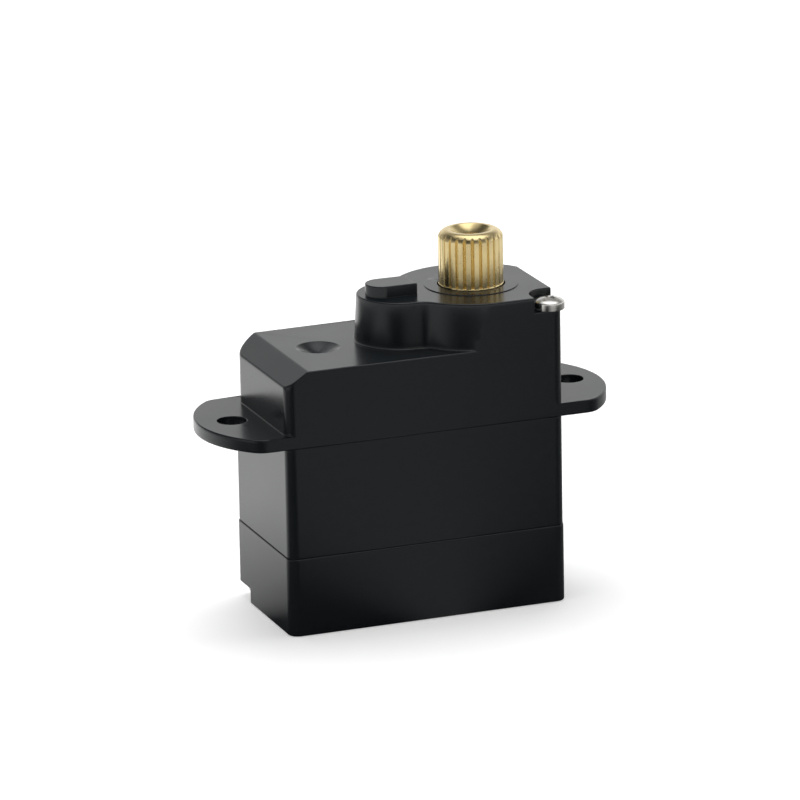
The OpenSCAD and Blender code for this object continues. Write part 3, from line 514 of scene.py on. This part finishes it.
class SERVO_OT_case(bpy.types.Operator):
    """Make the three moulded shells with rounded edges"""
    bl_idname = "servo.case"
    bl_label = "Moulded Shells"

    def execute(self, context):
        sizes = context.scene.servo_case
        edge, seam, fine = sizes.edge, sizes.seam, sizes.fine
        cover_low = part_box("bottom_cover")[0].z / MM
        seam_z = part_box("middle_case")[0].z / MM
        dome_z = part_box("top_case")[1].z / MM - PAD_H
        pocket_z = dome_z - POCKET_H

        def top_radius(p):
            out, axle = plan_distance(p, OUTPUT_X), plan_distance(p, AXLE_X)
            # Inside the case, inside the domes and in the screw holes the edges stay sharp
            if p.z < CEILING_Z and abs(p.x) < INNER_X - 0.05 and abs(p.y) < INNER_Y:
                return 0
            if p.z < dome_z - 0.2 and (out < DOME_REACH or axle < AXLE_DOME_REACH):
                return 0
            if plan_distance(p, *TOP_SCREW) < TOP_HOLE_REACH:
                return 0
            if plan_distance(p, *BOTTOM_SCREW) < BOTTOM_HOLE_REACH and p.z < CEILING_Z:
                return 0
            # The boss ring, the shaft's hole and the pad's foot are hardly broken
            if out < RING_REACH or abs(p.z - dome_z) < 0.01 and axle < PAD_REACH:
                return BROKEN * MM
            if any(plan_distance(p, x) < EAR_HOLE_REACH for x in EAR_HOLES):
                return fine
            if p.z < 0.01 and abs(p.x) < 11.5:
                return seam
            if p.z < EAR_TOP_Z:
                return 0.09 * MM
            # The top screw's pocket
            if p.x > POCKET_X and p.y < POCKET_Y and p.z > POCKET_Z:
                return edge * 0.8 if p.z < dome_z - 0.5 else fine
            if p.z > dome_z + 0.1:
                return edge * 0.7
            if plan_distance(p, DIMPLE_X) < DIMPLE_REACH:
                return fine
            return edge

        def middle_radius(p):
            outer = abs(p.x) > SKIN_X or abs(p.y) > SKIN_Y
            return seam if outer and seam_z - 0.01 < p.z < 0.01 else 0

        def cover_radius(p):
            if p.z > seam_z + 0.1 or abs(p.x) < INNER_X and abs(p.y) < INNER_Y and p.z > cover_low + 0.5:
                return 0
            if p.z < cover_low + 0.01 and (abs(p.x) > SKIN_X - 0.1 or abs(p.y) > SKIN_Y - 0.15):
                return edge
            if p.z < cover_low + FOOT_POCKET_H + 0.1:
                return fine * 0.8 if plan_distance(p, *BOTTOM_SCREW) > 0.8 else 0
            return seam

        def around(*heights):
            return [z + side * CUT_ROOM for z in heights for side in (-1, 1)]

        shells = (("top_case", top_radius,
                   [CUT_ROOM] + around(EAR_Z) + [SLOPE_CUT_Z] + around(STEP_TOP_Z, pocket_z) + [dome_z - CUT_ROOM]),
                  ("middle_case", middle_radius, [seam_z + CUT_ROOM, -CUT_ROOM]),
                  ("bottom_cover", cover_radius,
                   [cover_low + CUT_ROOM] + around(cover_low + FOOT_POCKET_H) + [seam_z - CUT_ROOM]))
        for node, radius_at, levels in shells:
            data = rounded_shell(node, node + "_shell", radius_at, sizes.steps, levels)
            new_piece(node + "_shell", data, [node], "case", "black_nylon")
        return {"FINISHED"}


class SERVO_OT_gland(bpy.types.Operator):
    """Make the rubber gland of the cable inlet"""
    bl_idname = "servo.gland"
    bl_label = "Cable Gland"

    def execute(self, context):
        def radius_at(p):
            return 0.1 * MM if p.x > 11.4 else BROKEN * MM

        data = rounded_shell("lead_grommet", "cable_gland", radius_at, 3)
        new_piece("cable_gland", data, ["lead_grommet"], "case", "gland_rubber")
        return {"FINISHED"}


class SERVO_OT_shaft(bpy.types.Operator):
    """Make the output gear with its splined brass shaft"""
    bl_idname = "servo.shaft"
    bl_label = "Output Shaft"

    def execute(self, context):
        sizes = context.scene.servo_shaft
        teeth, root, crown, pitch = sizes.teeth, sizes.root / MM, sizes.crown / MM, sizes.pitch / MM
        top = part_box("output_gear")[1].z / MM
        bore_z = top - BORE_DEPTH
        profile = [(0, JOIN_Z - OVERLAP), (SEAT_R, JOIN_Z - OVERLAP), (SEAT_R, SEAT_Z), (JOURNAL_R, SEAT_Z),
                   (JOURNAL_R, COLLAR_Z - 0.1), (JOURNAL_R, COLLAR_Z - 0.03), (JOURNAL_R - 0.03, COLLAR_Z)]
        first_tooth = len(profile)
        foot_z, rise = COLLAR_Z + 0.06, top - crown
        profile += [(TIP_R, COLLAR_Z), (TIP_R, COLLAR_Z + 0.02), (TIP_R, foot_z)]
        profile += [(TIP_R, foot_z + (rise - foot_z) * k / 8) for k in range(1, 9)]
        for k in range(1, 19):
            a = math.radians(5 * k)
            profile.append((JOURNAL_R - crown * (1 - math.cos(a)), top - crown * (1 - math.sin(a))))
        last_tooth = len(profile)
        profile += [(COUNTERSINK_R + 0.12, top), (COUNTERSINK_R + 0.04, top), (COUNTERSINK_R, top - 0.03),
                    (BORE_R + 0.02, top - COUNTERSINK_DEPTH)]
        first_thread = len(profile)
        thread_top = top - COUNTERSINK_DEPTH - 0.05
        rows = int((thread_top - bore_z) / (pitch / 8))
        profile += [(BORE_R, thread_top - pitch / 8 * k) for k in range(rows)]
        last_thread = len(profile)
        profile += [(BORE_R, bore_z), (0, bore_z)]

        def shape(number, turn, r, z):
            if first_tooth <= number < last_tooth:
                across = abs((turn * teeth) % 1.0 - 0.5)
                share = min(max((across - 0.05) / 0.16, 0.0), 1.0)
                return min(r, root + (TIP_R - root) * share)
            if first_thread <= number < last_thread:
                fade = min(1.0, (number - first_thread) / 8, (last_thread - number) / 8)
                return r + 0.12 * fade * triangle(z / pitch - turn)
            return r

        upper = turned("upper_shaft", profile, teeth * 14, (OUTPUT_X, OUTPUT_Y), shape)
        mesh = welded_copy("output_gear")
        cut = bmesh.ops.bisect_plane(mesh, geom=mesh.verts[:] + mesh.edges[:] + mesh.faces[:],
                                     plane_co=(0, 0, JOIN_Z * MM), plane_no=(0, 0, 1), clear_outer=True)
        rim = [g for g in cut["geom_cut"] if isinstance(g, bmesh.types.BMEdge)]
        bmesh.ops.triangle_fill(mesh, edges=rim, use_beauty=True, use_dissolve=True, normal=(0, 0, 1))
        bmesh.ops.recalc_face_normals(mesh, faces=mesh.faces)
        lower = to_mesh(mesh, "lower_shaft")
        data = smooth(boolean("UNION", lower, upper), 28)
        data.name = "output_shaft"
        new_piece("output_shaft", data, ["output_gear"], "output", "turned_brass")
        return {"FINISHED"}


class SERVO_OT_screws(bpy.types.Operator):
    """Make the two pan-head screws with a cross recess"""
    bl_idname = "servo.screws"
    bl_label = "Case Screws"

    def screw(self, name, place, head_r, seat, way, tip_z, pitch, arm):
        """One screw: way is 1 for a head that faces up and -1 for one that faces down."""
        length_down = abs(seat - tip_z)
        rows = int((length_down - 0.7) / (pitch / 6))
        profile = [(0, -length_down), (0.25, -length_down), (0.4, -length_down + 0.35)]
        first = len(profile)
        profile += [(THREAD_ROOT + THREAD_H, -length_down + 0.4 + pitch / 6 * k) for k in range(rows)]
        last = len(profile)
        profile += [(SHANK_R, -0.05), (SHANK_R, 0.0), (head_r - 0.05, 0.0), (head_r, 0.05), (head_r, HEAD_H - 0.42)]
        for k in range(1, 5):
            a = math.radians(15 * k)
            profile.append((head_r - 0.14 * (1 - math.cos(a)), HEAD_H - 0.42 + 0.14 * math.sin(a)))
        for share in (0.9, 0.8, 0.65, 0.45, 0.2):
            r = (head_r - 0.08) * share
            profile.append((r, HEAD_H - 0.3 * (r / head_r) ** 2))
        profile.append((0, HEAD_H))

        def shape(number, turn, r, z):
            if first <= number < last:
                return THREAD_ROOT + THREAD_H * triangle(z / pitch - turn) ** 2
            return r

        body = turned(name, profile, 48, (0, 0), shape)
        # The cross recess: a closed cross that narrows downwards
        tool = bmesh.new()
        reach = 0.74 * head_r
        levels = []
        for z, out, half in ((HEAD_H - 0.7, 0.8 * reach, 0.1 * arm), (HEAD_H + 0.3, 1.1 * reach, 0.65 * arm)):
            corners = []
            for quarter in range(4):
                a = math.radians(RECESS_TURN + 90 * quarter)
                for x, y in ((half, -half), (out, -half), (out, half)):
                    corners.append(tool.verts.new(((x * math.cos(a) - y * math.sin(a)) * MM,
                                                   (x * math.sin(a) + y * math.cos(a)) * MM, z * MM)))
            levels.append(corners)
        count = len(levels[0])
        for i in range(count):
            j = (i + 1) % count
            tool.faces.new((levels[0][i], levels[0][j], levels[1][j], levels[1][i]))
        tool.faces.new(levels[0][::-1])
        tool.faces.new(levels[1])
        bmesh.ops.recalc_face_normals(tool, faces=tool.faces)
        data = smooth(boolean("DIFFERENCE", body, to_mesh(tool, "recess")), 32)
        data.transform(Matrix.Translation(Vector((place[0], place[1], seat)) * MM)
                       @ (Matrix.Rotation(math.pi, 4, "X") if way < 0 else Matrix.Identity(4)))
        data.name = name
        new_piece(name, data, ["case_screws"], "case", "nickel_screw")

    def execute(self, context):
        sizes = context.scene.servo_screws
        low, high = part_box("case_screws")
        pitch, arm = sizes.pitch / MM, sizes.slot_width / MM
        self.screw("top_screw", TOP_SCREW, TOP_HEAD_R, high.z / MM - HEAD_H, 1, TOP_SCREW_TIP, pitch, arm)
        self.screw("bottom_screw", BOTTOM_SCREW, BOTTOM_HEAD_R, low.z / MM + HEAD_H, -1, BOTTOM_SCREW_TIP, pitch, arm)
        return {"FINISHED"}


class SERVO_OT_inner_parts(bpy.types.Operator):
    """Give every CAD part that stays its finish"""
    bl_idname = "servo.inner_parts"
    bl_label = "Inner Parts"

    def execute(self, context):
        for node, piece in frame["nodes"].items():
            material = finish(SLOT_OF[node])
            piece.data.materials.clear()
            piece.data.materials.append(material)
        return {"FINISHED"}


# ---------------------------------------------------------------- stage

# How far below the servo the floor and the card on it lie, and the floor's half width, in mm
FLOOR_DROP, CARD_DROP = 0.02, 0.01
FLOOR_REACH = 2000.0
# How bright the floor is to the camera beyond the light that it throws back
FLOOR_GLOW = 0.35
# The card that glows round the servo, seen only in reflections: its glow level and radius in mm; its glow levels by
# degrees from the front towards the output end, far out and close in; and the distances in mm between which one fades
# into the other
CARD_LEVEL = 2.0
CARD_REACH = 600.0
CARD_FAR = ((-180, 0.66), (-160, 0.8), (-148, 0.3), (-136, 0.1), (-106, 0.08), (-92, 0.22), (-80, 0.42),
            (-66, 0.42), (-54, 0.24), (-44, 0.05), (-34, 0.0), (-22, 0.0), (-8, 0.1), (2, 0.16), (20, 0.17),
            (30, 0.1), (42, 0.01), (60, 0.04), (110, 0.2), (180, 0.72))
CARD_CLOSE = ((-180, 0.58), (-166, 0.73), (-135, 0.74), (-118, 0.66), (-100, 0.36), (-84, 0.03), (-22, 0.0),
              (-8, 0.1), (2, 0.17), (20, 0.18), (30, 0.1), (42, 0.01), (60, 0.04), (110, 0.2), (180, 0.58))
CARD_CHANGE = (80.0, 105.0)
# The card's painted shadow: it glows less round a place beside the servo's left end, as the floor next to the servo
# lies in its shadow; its place, and its shares of the level by the distance from it, in mm
PAINTED_SHADOW = (-16.0, 6.0, 0.0)
PAINTED_SHADOW_SHARES = ((0, 0.5), (24, 1.0), (600, 1.0))
# The card round the shaft, which glows white and is seen only in reflections: glow level, radius and heights in mm,
# and how many degrees it reaches each way
SHAFT_CARD_LEVEL = 0.88
SHAFT_CARD_R = 13.0
SHAFT_CARD_Z = (8.4, 11.4)
SHAFT_CARD_TURN = 120
# The room's walls as polished faces see them: greys by degrees above the horizon, their level, and the shares of it
# in front and at the left, each with the range of directions over which it fades in
WALLS = ((0, 0.6), (12, 0.6), (18, 0.56), (28, 0.3), (40, 0.13), (52, 0.18), (62, 0.9), (90, 1.0))
WALL_LEVEL = 1.7
FRONT_DIM, FRONT_FADE = 0.35, (-0.8, -0.4)
LEFT_DIM, LEFT_FADE = 0.35, (-0.32, -0.12)
# The lamps: name, place in m, size in m and power in W
LAMPS = (("overhead_softbox", (0.04, 0.12, 0.42), (0.34, 0.3), 1.1),
         ("left_softbox", (-0.40, -0.10, 0.18), (0.25, 0.3), 0.15))
# What the camera looks at, in mm
CAMERA_TARGET = (0.131, 0.0, 1.009)


def staged(name, mesh, material):
    """A stage object from a working mesh."""
    piece = bpy.data.objects.new(name, to_mesh(mesh, name))
    piece.data.materials.append(material)
    bpy.context.scene.collection.objects.link(piece)
    piece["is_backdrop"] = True
    return piece


def only_reflected(piece):
    """Hides a stage object from all but reflections."""
    piece.visible_camera = piece.visible_diffuse = piece.visible_shadow = False
    piece.visible_transmission = piece.visible_volume_scatter = False


def make_floor(white, foot):
    """Matt painted board: keeps a soft shadow, and is bright enough to melt into the background."""
    material = bpy.data.materials.new("matt painted board")
    tree = empty_tree(material)
    paint = add(tree, "ShaderNodeBsdfDiffuse", None, {"Color": white})
    glow = add(tree, "ShaderNodeEmission", None, {"Color": white, "Strength": FLOOR_GLOW})
    path = add(tree, "ShaderNodeLightPath")
    off = add(tree, "ShaderNodeBsdfTransparent", None, {"Color": (0, 0, 0, 1)})
    lift = add(tree, "ShaderNodeMixShader", None,
               {0: path.outputs["Is Camera Ray"], 1: off.outputs[0], 2: glow.outputs[0]})
    both = add(tree, "ShaderNodeAddShader", None, {0: paint.outputs[0], 1: lift.outputs[0]})
    add(tree, "ShaderNodeOutputMaterial", None, {"Surface": both.outputs[0]})
    mesh = bmesh.new()
    bmesh.ops.create_grid(mesh, x_segments=8, y_segments=8, size=FLOOR_REACH * MM)
    bmesh.ops.translate(mesh, verts=mesh.verts, vec=(0, 0, foot - FLOOR_DROP * MM))
    staged("floor", mesh, material)


def make_glowing_card(white, foot):
    """A card that glows and lies round the servo, seen only in its reflections; beside the servo's left end it glows
    less, a painted shadow.
    """
    card = bpy.data.materials.new("printed card")
    tree = empty_tree(card)
    place = add(tree, "ShaderNodeTexCoord").outputs["Object"]
    apart = add(tree, "ShaderNodeSeparateXYZ", None, {0: place})
    flip = add(tree, "ShaderNodeMath", {"operation": "MULTIPLY"}, {0: apart.outputs[1], 1: -1.0})
    angle = add(tree, "ShaderNodeMath", {"operation": "ARCTAN2"}, {0: apart.outputs[0], 1: flip.outputs[0]})
    part = add(tree, "ShaderNodeMapRange", None,
               {"Value": angle.outputs[0], "From Min": -math.pi, "From Max": math.pi})
    outer, inner = (add(tree, "ShaderNodeValToRGB", None, {0: part.outputs[0]},
                        [(0.5 + degrees / 360, grey) for degrees, grey in stops])
                    for stops in (CARD_FAR, CARD_CLOSE))
    middle = add(tree, "ShaderNodeVectorMath", {"operation": "LENGTH"}, {0: place})
    change = add(tree, "ShaderNodeMapRange", None, {"Value": middle.outputs["Value"],
                                                    "From Min": CARD_CHANGE[0] * MM,
                                                    "From Max": CARD_CHANGE[1] * MM})
    level = add(tree, "ShaderNodeMix", {"data_type": "FLOAT"},
                {0: change.outputs[0], 2: inner.outputs[0], 3: outer.outputs[0]})
    # Painted shadow: the glow is dimmed round a place beside the servo, where the floor lies in its shadow
    away = add(tree, "ShaderNodeVectorMath", {"operation": "DISTANCE"}, {0: place, 1: tuple(c * MM for c in PAINTED_SHADOW)})
    share = add(tree, "ShaderNodeMapRange", None,
                {"Value": away.outputs["Value"], "From Min": 0.0, "From Max": CARD_REACH * MM})
    painted_shadow = add(tree, "ShaderNodeValToRGB", None, {0: share.outputs[0]},
               [(r / CARD_REACH, grey) for r, grey in PAINTED_SHADOW_SHARES])
    dimmed = add(tree, "ShaderNodeMath", {"operation": "MULTIPLY"}, {0: level.outputs[0], 1: painted_shadow.outputs[0]})
    power = add(tree, "ShaderNodeMath", {"operation": "MULTIPLY"}, {0: dimmed.outputs[0], 1: CARD_LEVEL})
    light = add(tree, "ShaderNodeEmission", None, {"Color": white, "Strength": power.outputs[0]})
    add(tree, "ShaderNodeOutputMaterial", None, {"Surface": light.outputs[0]})
    mesh = bmesh.new()
    bmesh.ops.create_circle(mesh, cap_ends=True, segments=96, radius=CARD_REACH * MM)
    ring = staged("reflected_card", mesh, card)
    ring.location.z = foot - CARD_DROP * MM
    only_reflected(ring)


def make_shaft_card(white):
    """A card that glows white, bent round the shaft's front, just high enough to miss the case's own reflections."""
    card_glow = bpy.data.materials.new("white card")
    tree = empty_tree(card_glow)
    light = add(tree, "ShaderNodeEmission", None, {"Color": white, "Strength": SHAFT_CARD_LEVEL})
    add(tree, "ShaderNodeOutputMaterial", None, {"Surface": light.outputs[0]})
    mesh = bmesh.new()
    turns = [math.radians(degrees) for degrees in range(-SHAFT_CARD_TURN, SHAFT_CARD_TURN + 1, 10)]
    low, high = ([mesh.verts.new(((OUTPUT_X + SHAFT_CARD_R * math.sin(a)) * MM,
                                  (OUTPUT_Y - SHAFT_CARD_R * math.cos(a)) * MM, z * MM)) for a in turns]
                 for z in SHAFT_CARD_Z)
    for i in range(len(turns) - 1):
        mesh.faces.new((low[i], low[i + 1], high[i + 1], high[i]))
    only_reflected(staged("shaft_card", mesh, card_glow))


def make_world(white, ambient):
    """White to the camera, a plain level on the servo, and the room's walls in what is polished."""
    world = bpy.data.worlds.new("studio")
    bpy.context.scene.world = world
    tree = empty_tree(world)
    path = add(tree, "ShaderNodeLightPath")
    aim = add(tree, "ShaderNodeSeparateXYZ", None, {0: add(tree, "ShaderNodeTexCoord").outputs["Generated"]})
    walls = add(tree, "ShaderNodeValToRGB", None, {0: aim.outputs[2]},
                [(math.sin(math.radians(degrees)), grey) for degrees, grey in WALLS])
    front = add(tree, "ShaderNodeMapRange", None,
                {"Value": aim.outputs[1], "From Min": FRONT_FADE[0], "From Max": FRONT_FADE[1],
                 "To Min": FRONT_DIM, "To Max": 1.0})
    left = add(tree, "ShaderNodeMapRange", None,
               {"Value": aim.outputs[0], "From Min": LEFT_FADE[0], "From Max": LEFT_FADE[1],
                "To Min": LEFT_DIM * WALL_LEVEL, "To Max": WALL_LEVEL})
    dimmer = add(tree, "ShaderNodeMath", {"operation": "MULTIPLY"}, {0: front.outputs[0], 1: left.outputs[0]})
    room = add(tree, "ShaderNodeMath", {"operation": "MULTIPLY"}, {0: walls.outputs[0], 1: dimmer.outputs[0]})
    seen = add(tree, "ShaderNodeMath", {"operation": "MAXIMUM"},
               {0: path.outputs["Is Camera Ray"], 1: path.outputs["Is Transmission Ray"]})
    dim, glossy, bright = (add(tree, "ShaderNodeBackground", None, {"Color": white, "Strength": strength})
                           for strength in (ambient, room.outputs[0], 1.0))
    mirror = add(tree, "ShaderNodeMixShader", None,
                 {0: path.outputs["Is Glossy Ray"], 1: dim.outputs[0], 2: glossy.outputs[0]})
    mix = add(tree, "ShaderNodeMixShader", None, {0: seen.outputs[0], 1: mirror.outputs[0], 2: bright.outputs[0]})
    add(tree, "ShaderNodeOutputWorld", None, {"Surface": mix.outputs[0]})


def make_lamp(name, place, size, watts, target):
    """A soft rectangular lamp that reflections don't show."""
    data = bpy.data.lights.new(name, "AREA")
    data.shape, data.size, data.size_y, data.energy = "RECTANGLE", size[0], size[1], watts
    lamp = bpy.data.objects.new(name, data)
    bpy.context.scene.collection.objects.link(lamp)
    lamp.location = place
    lamp.rotation_euler = (Vector(target) - Vector(place)).to_track_quat("-Z", "Y").to_euler()
    lamp.visible_glossy = False


def make_camera(sizes):
    """A camera on a long lens, aimed by its azimuth, elevation and roll."""
    az, el, roll = sizes.azimuth, sizes.elevation, sizes.roll
    back = Vector((math.sin(az) * math.cos(el), -math.cos(az) * math.cos(el), math.sin(el)))
    right = Vector((math.cos(az), math.sin(az), 0))
    up = back.cross(right)
    turned_right = math.cos(roll) * right + math.sin(roll) * up
    turned_up = -math.sin(roll) * right + math.cos(roll) * up
    data = bpy.data.cameras.new("camera")
    data.lens, data.sensor_width = sizes.lens, 36.0
    data.clip_start, data.clip_end = 0.01, 10.0
    camera = bpy.data.objects.new("camera", data)
    bpy.context.scene.collection.objects.link(camera)
    matrix = Matrix((turned_right, turned_up, back)).transposed().to_4x4()
    matrix.translation = Vector(CAMERA_TARGET) * MM + back * sizes.distance
    camera.matrix_world = matrix
    bpy.context.scene.camera = camera


class SERVO_OT_stage(bpy.types.Operator):
    """Make the floor, the lights and the camera"""
    bl_idname = "servo.stage"
    bl_label = "Stage"

    def execute(self, context):
        sizes = context.scene.servo_stage
        white = tuple(context.scene.servo_colours.backdrop)
        low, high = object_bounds()
        make_floor(white, low.z)
        make_glowing_card(white, low.z)
        make_shaft_card(white)
        make_world(white, sizes.ambient)
        for name, place, size, watts in LAMPS:
            make_lamp(name, place, size, watts, (low + high) / 2)
        make_camera(sizes)
        context.scene.view_settings.view_transform = "Standard"
        return {"FINISHED"}


class SERVO_PT_panel(bpy.types.Panel):
    """Servo settings and steps in the sidebar"""
    bl_idname = "SERVO_PT_panel"
    bl_label = "Micro Servo Motor"
    bl_space_type = "VIEW_3D"
    bl_region_type = "UI"
    bl_category = "Servo"

    def draw(self, context):
        for holder, group in GROUPS.items():
            box = self.layout.box()
            settings = getattr(context.scene, holder)
            for name in group.__annotations__:
                box.prop(settings, name)
        for step in STEPS:
            self.layout.operator(step.bl_idname)


GROUPS = {
    "servo_case": ServoCaseSettings,
    "servo_shaft": ServoShaftSettings,
    "servo_screws": ServoScrewSettings,
    "servo_colours": ServoColours,
    "servo_stage": ServoStageSettings,
}
STEPS = (SERVO_OT_inner_parts, SERVO_OT_case, SERVO_OT_gland, SERVO_OT_shaft, SERVO_OT_screws, SERVO_OT_stage)


def register():
    """Registers the settings, the steps and the panel."""
    for cls in (*GROUPS.values(), *STEPS, SERVO_PT_panel):
        bpy.utils.register_class(cls)
    for holder, group in GROUPS.items():
        setattr(bpy.types.Scene, holder, PointerProperty(type=group))


def unregister():
    """Takes back what register does."""
    for holder in GROUPS:
        delattr(bpy.types.Scene, holder)
    for cls in reversed((*GROUPS.values(), *STEPS, SERVO_PT_panel)):
        bpy.utils.unregister_class(cls)


def main():
    """Builds the servo and its stage."""
    register()
    bpy.ops.servo.inner_parts()
    bpy.ops.servo.case()
    bpy.ops.servo.gland()
    bpy.ops.servo.shaft()
    bpy.ops.servo.screws()
    bpy.ops.servo.stage()


if __name__ == "__main__":
    main()
